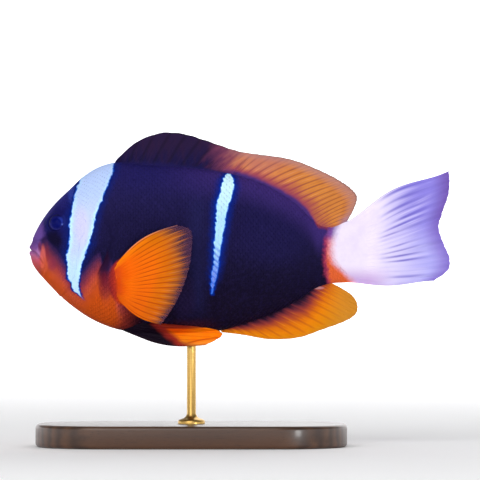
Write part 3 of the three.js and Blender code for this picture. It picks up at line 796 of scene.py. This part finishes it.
for side, name in ((-1, "eye_left"), (1, "eye_right")):
    bpy.ops.object.select_all(action="DESELECT")
    centre = Vector(metres(EYE_U, side * (EYE_Y - EYE_SINK), EYE_V))
    bpy.ops.mesh.primitive_uv_sphere_add(
        segments=64, ring_count=48, radius=EYE_RADIUS * MM * GLASS_FIT, location=centre,
        rotation=(math.pi / 2, 0, 0),
    )
    ball = bpy.context.active_object
    ball.name = ball.data.name = name + "_glass"
    bpy.ops.object.transform_apply(location=True, rotation=True, scale=True)
    gaze = Vector((ORBIT_U - EYE_U, side * EYE_RADIUS, ORBIT_V - EYE_V)).normalized()
    for vertex in ball.data.vertices:
        from_centre = (vertex.co - centre) / MM
        ahead = from_centre.dot(gaze)
        from_axis = (from_centre - ahead * gaze).length
        if ahead > 0:
            dish = IRIS_DISH * bump(from_axis - 1.9, 0.5) - PUPIL_BULGE * bump(from_axis, 1.25)
            vertex.co -= float(dish) * MM * gaze
    ball.data.shade_smooth()
    ball.data.materials.append(eye_paint)
    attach(ball, "root")
    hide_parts(name)


# ---- Fins ----
# Thin webs on bony rays, moulded in clear resin and painted. Rays stand out from the web on both
# faces, and most fork twice on the way to the margin. The roots swell into the body under the skin.

WEB = 0.13  # mm, the web between rays
RAY_WIDTH, RAY_TAPER = 0.17, 0.09  # of the space between rays, as are the forks
FIRST_FORK, SECOND_FORK = 0.24, 0.1
UNEVEN = 0.006  # of a ray's length, that it may fall short by
JOINT_RELIEF, JOINT_PITCH = 0.12, 90  # of a ray's height, and radians from root to tip
FIN_MAP = "Rays"  # across the fin from its leading edge, and out from its root


def ray_sheet(keys, peak=1):
    """A fin's flat shape from key rays, each root u, root v, tip u, tip v and how far it bows, in mm."""
    keys = np.array(keys, float)

    def at(across, out):
        root, tip = spline(keys[:, 0:2], across), spline(keys[:, 2:4], across)
        bow = spline(keys[:, 4:5], across)[..., 0]
        chord = tip - root
        rise = bow * np.maximum(np.sin(np.pi * out), 0) ** peak / np.linalg.norm(chord, axis=-1)
        sideways = np.stack([-chord[..., 1], chord[..., 0]], axis=-1)
        return root + chord * out[..., None] + sideways * rise[..., None]

    return at


def make_fin(name, sheet, rays, side_place, material, slot, node, seed, *, rows=44, per_ray=8,
             forks=(0.38, 0.7), ray_height=0.3, root_half=1, notch=0.007, ruffle=0.1, root_fall=7):
    """A closed fin: forked rays raised on both faces of a web, between a root and a wavy margin."""
    chance = np.random.default_rng(seed)
    columns = rays * per_ray
    across, out = np.meshgrid(
        np.linspace(0, 1, columns + 1), np.linspace(0, 1, rows + 1) ** 0.9, indexing="ij"
    )
    count = across * rays
    nearest = np.round(count)
    wave = np.cos(2 * np.pi * count)
    length = 1 - chance.uniform(0, UNEVEN, rays + 1)[nearest.astype(int)]
    reach = out * length * (1 - notch * (0.5 - 0.5 * wave))
    flat = sheet(across, reach)
    y = side_place(across, reach, flat) + ruffle * out * wave
    middle = np.stack([flat[..., 0], y, flat[..., 1]], axis=-1)
    # Each ray splits in two and then in four as it goes out, and its branches grow narrow and low.
    first = FIRST_FORK * smooth(forks[0], 1.1, out)
    second = SECOND_FORK * smooth(forks[1], 1.05, out)
    narrow = RAY_WIDTH - RAY_TAPER * smooth(forks[0], 0.9, out)
    branches = [bump(count - nearest + a * first + b * second, narrow) for a in (-1, 1) for b in (-1, 1)]
    joints = np.where(out > 0.25, 1 + JOINT_RELIEF * np.cos(out * JOINT_PITCH + 3 * nearest), 1)
    half = WEB / 2 + np.max(branches, axis=0) * ray_height * (1 - 0.82 * out) * joints
    # The root swells, less so at both ends, and both edges are a little thick.
    edge = np.minimum(across, 1 - across)
    root_half = root_half * (0.35 + 0.65 * np.sqrt(smooth(0, 0.16, edge)))
    half += np.maximum(0, root_half - half) * np.exp(-out * root_fall)
    half += 0.12 * (1 - 0.8 * out) * bump(edge * rays, 0.3)
    normal = np.cross(np.gradient(middle, axis=0), np.gradient(middle, axis=1))
    normal /= np.maximum(np.linalg.norm(normal, axis=-1, keepdims=True), 1e-9)
    offset = normal * half[..., None]
    place = np.concatenate([(middle + offset).reshape(-1, 3), (middle - offset).reshape(-1, 3)])
    one = np.arange(across.size).reshape(across.shape)
    other = one + one.size
    faces = quads(one) + [face[:1] + face[:0:-1] for face in quads(other)]
    near, far = [
        np.concatenate([face[:, 0], face[-1, 1:], face[-2::-1, -1], face[0, -2:0:-1]])
        for face in (one, other)
    ]
    band = near, far, np.roll(far, -1), np.roll(near, -1)
    faces += np.stack(band, axis=1).tolist()
    fin = new_piece(name, metres(*place.T), faces)
    layer = fin.data.uv_layers.new(name=FIN_MAP)
    both = np.tile(np.stack([across, out], axis=-1).reshape(-1, 2), (2, 1))
    corner = np.empty(len(fin.data.loops), int)
    fin.data.loops.foreach_get("vertex_index", corner)
    layer.data.foreach_set("uv", both[corner].astype(np.float32).ravel())
    finish_mesh(fin, 50)
    fin.data.materials.append(material)
    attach(fin, "root")
    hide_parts(node)


# The pattern of rays over a fin: the hollows between them, the rays, where they fork, and the whole web.
ray_lines, (across, out, rays) = new_group(
    "ray_lines", ["Across", "Out", "Rays"], ["Hollow", "Ray", "Fork", "Web"]
)
from_hollow = abs((across * rays).math("FRACT") - 0.5) * 2
give_out(
    ray_lines, from_hollow.step(0.42, 0), from_hollow.step(0.62, 1),
    from_hollow.step(0.84, 1) * out.step(0.3, 0.55), from_hollow.step(0.8, 0),
)


def fin_paint(name, rays, seed):
    """The start of a fin's paint: its material, shader, and the fields that its colours follow."""
    material, shader, place = new_material(name, 0.5, 0.05)
    fin_map = place.node("UVMap", uv_map=FIN_MAP)[0]
    across, out, _ = place.node("SeparateXYZ", fin_map)
    cloud = place.mapped((1, 1, 1), (seed, 0, 0)).noise(220, 3)
    strand = fin_map.mapped((rays * 1.7, 1.6, 1), (seed, 0, 0)).noise(1)
    u, v = side_view(place)
    return material, shader, place, u, v, across, out, through(ray_lines, across, out, rays), cloud, strand


def in_midplane(across, out, flat):
    return swing(flat[..., 0])


ROOT_DEPTH = 1.2  # mm that a root goes down into the body


def rooted(line, depth, bow, rays):
    """Key rays with their roots along the back or belly, given as root u, tip u, tip v and any other bow."""
    return [(u, float(line(u)) - depth, *rest, bow)[:5] for u, *rest in rays]


# Paint of both parts of the back fin: violet-black in front, which turns to orange over the rear of the
# spines, with plum along the root and a lilac-grey margin.
back_paint, (position, cloud, strand, out, hollow, ray, fork) = new_group(
    "back_fin_paint", ["Position", "Cloud", "Strand", "Out", "Hollow", "Ray", "Fork"], ["Color"]
)
u, v = side_view(position)
stray = cloud - 0.5
streaks = position.mapped((1, 1, 0.18), turn=(0, 0.75, 0)).noise(900)
dark = v.step(26.5, 34).mix((24, 20, 62), (38, 25, 56)).coats(
    ((44, 26, 54), streaks.step(0.42, 0.7) * 0.45),
    ((18, 12, 28), hollow * 0.4),
)
gaps = (hollow * 0.8 + fork * 0.55) * out.step(1.1, 0.85)
pale = ray**3 * strand.step(0.38, 0.62) * out.step(0.98, 0.6)
shade = out + stray * 0.2 - hollow * 0.12 + (strand - 0.5) * 0.3
orange = u.step(63, 90).mix((192, 110, 82), (188, 114, 52)).coats(
    ((206, 130, 62), cloud.step(0.4, 0.7) * 0.5),
    ((114, 58, 54), gaps * (strand * 1.3 + 0.2)),
    ((226, 156, 104), pale * 0.5),
    ((142, 62, 74), shade.step(0.46, 0.1) * (0.9 - u.step(84, 92) * 0.5)),
    ((172, 120, 112), out.step(0.68, 0.95) * 0.75),
    ((156, 98, 98), oval(u, v, (72, 29), (10, 5.5)) * 0.4),
    ((142, 108, 134), v.step(12.5, 9) * out.step(0.45, 0.95) * 0.75),
)
turn = u - (v - 28) * 0.2 + stray * 4 + (strand - 0.5) * 9
above = v + stray * 1.6 - u.curve(ORANGE_EDGE)
behind = u.step(58, 64)
give_out(back_paint, dark.coats(
    ((104, 52, 78), turn.step(52.5, 62)),
    (orange, turn.step(58.5, 68)),
    ((140, 62, 80), above.step(2.3, 0.2) * behind * 0.7),
    ((64, 44, 104), above.step(0.8, -0.9) * behind),
    ((30, 25, 74), (out + stray * 0.08).step(0.22, 0.08) * u.step(66, 58) * 0.9),
    ((30, 22, 36), out.step(0.955, 1) * 0.6),
))


def back_fin_web(name, rays, seed):
    web, shader, place, _, _, _, out, lines, cloud, strand = fin_paint(name, rays, seed)
    put(through(back_paint, place, cloud, strand, out, *lines[:3])[0], shader["Base Color"])
    return web, shader, out


# Front of the back fin, on ten spines, each a sheaf of four fine ridges from its root up.
SPINES = 10
web, _, _ = back_fin_web("dark_fin_web", SPINES, 1)
spines = rooted(back_line, ROOT_DEPTH, 0.2, [
    (25.6, 27, 28.7, 0), (30, 33.2, 34.1, 0), (35, 40.5, 36.8), (41, 47.5, 36.6), (47, 54, 34.7),
    (52.5, 60, 32.6), (57.7, 65.4, 31), (62.6, 70.7, 30.2),
])
make_fin(
    "spiny_back_fin", ray_sheet(spines), SPINES, in_midplane, web, "dark_fin", "dorsal_fin_spiny", 21,
    forks=(2, 3), ray_height=0.34, per_ray=12, notch=0.012, ruffle=0.05,
)

# Rear of the back fin, on soft forked rays.
BACK_RAYS = 20
web, shader, out = back_fin_web("back_fin_web", BACK_RAYS, 2)
put(1 - out.step(0.8, 1) * 0.15, shader["Alpha"])
soft_rays = rooted(back_line, ROOT_DEPTH, 0.5, [
    (62.5, 70.4, 30.2, 0.2), (68, 80.5, 28.7), (74, 88.8, 25.7), (79.5, 95.2, 22.5), (84, 99.3, 19.7),
    (87, 101.3, 16.9), (89.5, 100.1, 13), (91.2, 98, 9.2, 0),
])
make_fin(
    "soft_back_fin", ray_sheet(soft_rays), BACK_RAYS, in_midplane, web, "orange_fin", "dorsal_fin_soft", 22
)

# Anal fin: golden orange with plum streaks at its root.
ANAL_RAYS = 20
web, shader, _, u, v, _, out, lines, cloud, strand = fin_paint("anal_fin_web", ANAL_RAYS, 3)
hollow, ray, fork, _ = lines
reach = out + ray * 0.05 - hollow * 0.05 - fork * 0.04 + (cloud - 0.5) * 0.16
reach = reach + u.step(84, 93) * 0.26 + (strand - 0.5) * 0.26
color = reach.ramp([
    (0.03, (24, 16, 34)), (0.11, (52, 26, 46)), (0.2, (102, 42, 50)), (0.3, (136, 54, 48)),
    (0.42, (170, 74, 36)), (0.56, (202, 102, 14)), (0.74, (216, 120, 0)), (1, (208, 124, 6)),
    (1.2, (196, 124, 20)),
]).coats(
    ((166, 76, 26), hollow * out.step(0.2, 0.5) * out.step(1, 0.8) * 0.5),
    ((232, 148, 50), ray**3 * reach.hump(0.55, 0.3) * strand.step(0.4, 0.65) * 0.45),
    ((190, 126, 44), u.step(90, 99) * 0.75),
    ((176, 118, 46), out.step(0.9, 1) * 0.4),
    # Painted highlight: a small pinkish streak at the rear of the fin's root, by the stalk's lower edge.
    ((204, 146, 150), oval(u, v, (89.3, -11.1), (2.2, 0.6)) * 0.6),
)
put(color, shader["Base Color"])
anal_rays = rooted(belly_line, -ROOT_DEPTH, 0.2, [
    (58.6, 59.4, -24.8, 0), (61, 66, -25.6), (65, 74.6, -27), (71, 83.4, -26.4), (77, 90.6, -24),
    (82.5, 97.2, -21.6), (86.5, 100.9, -19.2), (89, 101.3, -16.1), (90.6, 99.6, -13.4),
    (91.6, 96.2, -11.2, 0),
])
make_fin("anal_fin_web", ray_sheet(anal_rays), ANAL_RAYS, in_midplane, web, "orange_fin", "anal_fin", 23)

# Tail fin: white at its root, lilac and violet to its rear, with soft folds between the rays and streaks of
# painted shade on them.
TAIL_RAYS = 17
TAIL_ROOT = 97


def tail_place(across, out, flat):
    folds = 0.55 * np.sin(across * 6 * np.pi) + 0.22 * np.sin(across * 15 * np.pi + 1)
    return swing(flat[..., 0]) + folds * smooth(0.1, 1.1, out)


web, shader, place, u, v, _, out, lines, _, strand = fin_paint("tail_fin_web", TAIL_RAYS, 4)
gather = place.node("UVMap", uv_map=FIN_MAP)[0].mapped((13, 1.1, 1), (3, 0, 0)).noise(1)
fold = gather.step(0.42, 0.58) * out.hump(0.58, 0.34)
color = through(fish_paint_and_light, place)[0].coats(
    ((128, 117, 206), u.step(108, 122) * v.step(-1, 14) * 0.9),
    ((208, 200, 238), strand.step(0.45, 0.65) * u.step(108, 114) * out.step(0.9, 0.65) * 0.5),
    # Painted shade: darker violet streaks between the rays, where the web folds.
    ((92, 82, 182), lines[3] * (fold * 0.75 + 0.1) * out.step(0.28, 0.45)),
    (v.step(2, 16).mix((116, 92, 182), (102, 72, 150)), out.step(0.8, 1) * 0.8),
)
put(color, shader["Base Color"])
tail_rays = [(TAIL_ROOT, v * 0.98, tip_u, tip_v, bow) for v, tip_u, tip_v, bow in (
    (9, 129.9, 25.1, 2.6), (5, 130.2, 21.8, 1), (1.9, 129.7, 17.4, 0.4), (0, 127.9, 12.2, 0),
    (-1.6, 126.8, 8, -0.3), (-3.1, 127.8, 3.8, -0.5), (-4.8, 129.9, -1, -0.5), (-7, 129.9, -5.3, -0.5),
    (-9.6, 125.2, -8.9, -1.3),
)]
make_fin(
    "tail_fin_web", ray_sheet(tail_rays, 2), TAIL_RAYS, tail_place, web, "tail_fin", "caudal_fin", 24,
    rows=56, per_ray=9, root_half=0.9, root_fall=9, forks=(0.3, 0.6), notch=0.004, ray_height=0.2,
)

# Pectoral fins: orange fans that spread from a fleshy root, clearer and browner to the margin.
PECTORAL_RAYS = 18
PECTORAL_FLARE = 8.5
PECTORAL_DEPTH = 0.7  # mm
pectoral_sheet = ray_sheet([
    (26.6, -4.4, 45.8, 8.2, 2.4), (26.9, -5.8, 49.9, 6.9, 1.2), (27.2, -7.4, 50.5, 2.6, 0.5),
    (27.5, -9, 50, -2.3, 0), (27.7, -10.6, 48.6, -8.2, 0), (27.8, -12, 46.4, -13.6, 0),
    (27.8, -13.2, 43.6, -18.5, -0.5), (27.7, -14.2, 40.9, -22.2, -1.6),
])
web, shader, place, _, _, across, out, lines, cloud, _ = fin_paint("pectoral_web", PECTORAL_RAYS, 5)
hollow, ray, fork, _ = lines
wisps = place.node("UVMap", uv_map=FIN_MAP)[0].mapped((70, 3, 1)).noise(1)
far = out + (cloud - 0.5) * 0.12 + (wisps - 0.5) * 0.3 + across.step(0.6, 0.2) * 0.09
color = out.ramp([
    (0, (190, 60, 26)), (0.1, (216, 84, 6)), (0.2, (230, 97, 0)), (0.5, (224, 99, 0)), (0.62, (202, 99, 0)),
    (0.8, (188, 99, 5)), (1, (178, 98, 18)),
]).coats(
    ((188, 104, 10), across.step(0.36, 0) * out.step(0.15, 0.6) * 0.8),
    ((240, 128, 14), across.step(0.14, 0.02) * out.step(0.7, 0.3) * 0.7),
    ((198, 84, 2), across.step(0.66, 1) * 0.6),
    ((228, 114, 0), cloud.step(0.4, 0.7) * 0.3),
    ((158, 56, 8), hollow**1.6 * out.step(0.16, 0.4) * (cloud * 0.8 + 0.4)),
    ((164, 72, 14), fork**2 * out.step(0.4, 0.7) * 0.4),
    ((112, 66, 50), far.step(0.72, 0.98) * (1 - ray * 0.4) * 0.9),
    ((214, 138, 84), out.hump(0.8, 0.17) * ray**3 * 0.4),
    ((56, 40, 76), far.step(0.88, 1.05) * 0.85),
    ((214, 138, 112), across.step(0.03, 0) * out.step(0.15, 0.3) * 0.6),
)
put(color, shader["Base Color"])
put(1 - far.step(0.8, 1.05) * (1 - ray * 0.5) * 0.3, shader["Alpha"])


def flank(u, v):
    """Half the body's width at a place in the side view, in mm."""
    depth = (back_line(u) - belly_line(u)) / 2
    cosine = np.clip((v - (back_line(u) + belly_line(u)) / 2) / depth, -1, 1)
    power = np.where(cosine > 0, BACK_SHARPNESS, BELLY_SHARPNESS)
    return half_width(u) * np.sqrt(1 - cosine**2) ** power


def root_flank(sheet, across, depth):
    root = sheet(across, np.zeros_like(across))
    return flank(root[..., 0], root[..., 1]) - depth


def spread_out(across, out, flat):
    """How far a pectoral fin stands out to the side: it flares, with its edges cupped inwards."""
    cup = 1.6 * out * (2 * across - 1) ** 2
    flare = PECTORAL_FLARE * np.sin(out * np.pi * 0.42)
    pleat = 0.12 * out * np.sin(across * 9 * np.pi)
    return root_flank(pectoral_sheet, across, PECTORAL_DEPTH) + flare - cup + pleat


def make_pair(name, sheet, rays, side_place, node, seed, **shape):
    for side, hand in ((-1, "left"), (1, "right")):
        make_fin(
            name + hand, sheet, rays, lambda *at: side * side_place(*at), web, "orange_fin", node + hand,
            seed, **shape,
        )


make_pair(
    "pectoral_web_", pectoral_sheet, PECTORAL_RAYS, spread_out, "pectoral_fin_", 25,
    ray_height=0.18, root_fall=8,
)

# Pelvic fins: folded back along the belly, black in front and orange behind.
PELVIC_RAYS = 6
PELVIC_SPREAD = 3.2
pelvic_sheet = ray_sheet([
    (29, -23.9, 54.4, -28.7, -2.3), (30.6, -23.3, 58, -26.9, -1.5), (31.8, -22.9, 59.7, -25.3, -1),
    (33, -22.4, 57.4, -23.9, -0.2), (34.4, -21.9, 52, -23.1, 0.2),
])
web, shader, _, u, v, across, _, lines, cloud, _ = fin_paint("pelvic_web", PELVIC_RAYS, 6)
fold = v - u.curve([(48, -28.4), (51, -27.5), (54, -26.9), (57, -26.5)])
oblique = u + v * 1.1 + (cloud - 0.5) * 3
color = (cloud.step(0.4, 0.7) * 0.5).mix((250, 122, 2), (240, 142, 20)).coats(
    ((238, 68, 4), v.step(-26, -23.8) * u.step(55, 45) * 0.85),
    ((206, 76, 10), lines[0] * 0.5),
    # A fold painted on the fin, with none in its shape: a painted highlight below the fold line, and painted
    # shade along it.
    ((232, 152, 62), fold.step(-0.1, -0.8) * u.step(47, 50) * 0.4),
    ((168, 54, 14), fold.hump(0, 0.4) * u.step(47, 50) * 0.65),
    ((92, 42, 44), across.step(0.28, 0.08) * u.step(53, 46) * 0.7),
    ((150, 44, 34), oblique.step(17.8, 15.2)),
    ((26, 17, 30), oblique.step(15.4, 12.2)),
    # Painted shade: darker red along the fin's upper edge, which lies under the belly.
    ((104, 28, 30), v.step(-24.1, -23.2) * u.step(37, 43) * u.step(56, 48) * 0.85),
    ((122, 34, 28), across.step(0.8, 0.98) * u.step(46, 50) * 0.7),
    ((42, 22, 30), across.step(0.1, 0) * 0.75),
)
put(color, shader["Base Color"])


def under_belly(across, out, flat):
    """How far a pelvic fin stands out to the side: it comes clear of the belly and lies along it."""
    start = root_flank(pelvic_sheet, across, ROOT_DEPTH)
    free = np.maximum(flank(flat[..., 0], flat[..., 1]) + 0.9, PELVIC_SPREAD)
    return start + (free - start) * np.sin(np.minimum(3 * out, 1) * np.pi / 2)


make_pair(
    "pelvic_web_", pelvic_sheet, PELVIC_RAYS, under_belly, "pelvic_fin_", 26,
    per_ray=12, forks=(0.45, 0.8), root_half=0.9,
)


# ---- Stand ----
# A bevelled walnut base, satin varnished, with one turned brass rod pressed into it. The rod's
# flange hides the hole, and its upper end goes up into the belly between the pelvic fins.

BASE_CORNER, BASE_BEVEL = 0.022, 0.0012
LEVEL = 1e-6  # an edge that rises less than this is level

wood, shader, place = new_material("walnut", 0.32, 0.4, 0.25, 0.15)
grain = place.mapped((0.35, 4, 4), turn=(0.02, 0, 0.04))
flow = grain.noise(30, 4, 0.6)
bands = (grain.node("SeparateXYZ", grain)[1] * 520 + flow * 9).math("SINE")
pores = place.mapped((0.06, 1, 1)).noise(5200, 2, 0.7)
color = (bands * 0.5 + 0.5).mix((58, 38, 26), (84, 56, 38)).coats(
    ((46, 29, 20), flow.step(0.4, 0.7) * 0.5),
    ((30, 18, 13), pores.step(0.58, 0.7) * 0.6),
)
put(color, shader["Base Color"])
put(pores * 0.16 + 0.26, shader["Roughness"])
raise_by(shader, pores, 0.00004, 0.5)

base_low, base_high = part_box("stand_base")
base_size = base_high - base_low
bpy.ops.object.select_all(action="DESELECT")
bpy.ops.mesh.primitive_cube_add(size=1, location=(base_low + base_high) / 2, scale=base_size)
board = bpy.context.active_object
board.name = board.data.name = "stand_board"
bpy.ops.object.transform_apply(location=True, rotation=True, scale=True)
# The upright corners are rounded first, and then the level edges above and below.
for upright, width, segments in ((True, BASE_CORNER, 20), (False, BASE_BEVEL, 5)):
    bpy.ops.object.mode_set(mode="EDIT")
    bpy.ops.mesh.select_mode(type="EDGE")
    bpy.ops.mesh.select_all(action="DESELECT")
    bpy.ops.object.mode_set(mode="OBJECT")
    for edge in board.data.edges:
        start, end = [board.data.vertices[i].co for i in edge.vertices]
        rise = abs(start.z - end.z)
        edge.select = rise > base_size.z / 2 if upright else rise < LEVEL
    bpy.ops.object.mode_set(mode="EDIT")
    bpy.ops.mesh.bevel(offset=width, segments=segments, affect="EDGES")
    bpy.ops.object.mode_set(mode="OBJECT")
finish_mesh(board, 40)
board.data.materials.append(wood)
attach(board, "root")
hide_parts("stand_base")

brass, shader, place = new_material("satin_brass", 0.28, 0.5)
turning = place.mapped((0.2, 0.2, 3)).noise(1800, 3)
put((turning * 0.5).mix((196, 160, 92), (150, 112, 56)), shader["Base Color"])
put(turning * 0.2 + 0.22, shader["Roughness"])
put(1, shader["Metallic"])


def turned(name, outline, steps):
    """A piece turned on a lathe round the upright axis, from the (radius, height) points of its outline."""
    edges = [(i, i + 1) for i in range(len(outline) - 1)]
    piece = new_piece(name, [(r, 0, z) for r, z in outline], [], edges)
    edit_whole(piece)
    bpy.ops.mesh.spin(
        steps=steps, angle=2 * math.pi, center=(0, 0, 0), axis=(0, 0, 1), use_auto_merge=True
    )
    bpy.ops.object.mode_set(mode="OBJECT")
    return piece


rod_low, rod_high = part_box("stand_rod")
ROD = 1.4
FLANGE = [  # mm from the axis, and above the board
    (1.4, 0), (4.2, 0), (4.2, 0.7), (3.95, 1.1), (3.3, 1.4), (2.5, 1.65), (1.85, 2.1), (1.4, 3),
]
FLANGE_GAP = 0.05
foot = base_high.z + FLANGE_GAP * MM
rod = turned(
    "stand_pin",
    [(0, rod_low.z), (ROD * MM, rod_low.z)]
    + [(r * MM, foot + z * MM) for r, z in FLANGE]
    + [(ROD * MM, rod_high.z), (0, rod_high.z)],
    48,
)
finish_mesh(rod, 35)
rod.data.materials.append(brass)
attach(rod, "root")
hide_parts("stand_rod")


# ---- Room, lights and camera ----
# A white light table: its sheet runs flat under the model and up in a low rim all round, and glows with
# painted emission beyond the model's own shadow, with no lamp under it. Two large soft lamps and a small one
# stand round it.

TABLE_RADIUS, TABLE_BEND, TABLE_RIM = 2.3, 0.5, 0.8
sheet, shader, place = new_material("light_table", 0.9, 0.1)
put((place.noise(8) * 0.05).mix((248, 248, 249), (234, 234, 237)), shader["Base Color"])
from_middle = place.node("VectorMath", place, operation="LENGTH")[1]
# Painted glow: emission that is none in the middle and full 1.6 m out.
put(from_middle.step(0, 1.6).mix((0, 0, 0), (236, 236, 238)), shader["Emission Color"])
put(1, shader["Emission Strength"])
outline = [(r, 0) for r in (0, 0.4, 0.8, 1.2, 1.6, 2)]
for angle in np.linspace(0, math.pi / 2, 17):
    outline.append((TABLE_RADIUS + TABLE_BEND * math.sin(angle), TABLE_BEND * (1 - math.cos(angle))))
outline.append((TABLE_RADIUS + TABLE_BEND, TABLE_RIM))
floor = turned("floor", outline, 96)
finish_mesh(floor)
if floor.data.polygons[0].normal.z < 0:
    floor.data.flip_normals()
floor.data.materials.append(sheet)

world = bpy.data.worlds.new("room")
world.use_nodes = True
world.node_tree.nodes["Background"].inputs["Color"].default_value = (1, 1, 1, 1)
world.node_tree.nodes["Background"].inputs["Strength"].default_value = 0.3
bpy.context.scene.world = world

model_middle = Vector((0.015, 0, 0.06))
for name, spot, size, watts in (
    ("key_lamp", (-0.35, -0.95, 0.75), 0.9, 7.6),
    ("side_lamp", (0.6, -0.8, 0.08), 0.14, 1.8),
    ("back_lamp", (0.35, 0.95, 0.75), 0.9, 5),
):
    lamp = bpy.data.lights.new(name, "AREA")
    lamp.shape, lamp.size, lamp.size_y, lamp.energy = "RECTANGLE", size, size, watts
    holder = bpy.data.objects.new(name, lamp)
    bpy.context.scene.collection.objects.link(holder)
    holder.location = spot
    holder.rotation_mode = "QUATERNION"
    holder.rotation_quaternion = (model_middle - Vector(spot)).to_track_quat("-Z", "Y")

LENS, SENSOR = 400, 36  # mm
FRAME_WIDTH = 0.1482  # metres seen at the model
LOOK_U, LOOK_V = 65, 3.7
camera_data = bpy.data.cameras.new("camera")
camera_data.lens, camera_data.sensor_width = LENS, SENSOR
camera_data.clip_start, camera_data.clip_end = 0.01, 20
camera = bpy.data.objects.new("camera", camera_data)
bpy.context.scene.collection.objects.link(camera)
aim_x, _, aim_z = metres(LOOK_U, 0, LOOK_V)
camera.location = (aim_x, -FRAME_WIDTH * LENS / SENSOR, aim_z)
camera.rotation_euler = (math.pi / 2, 0, 0)
bpy.context.scene.camera = camera
bpy.context.scene.view_settings.view_transform = "Standard"
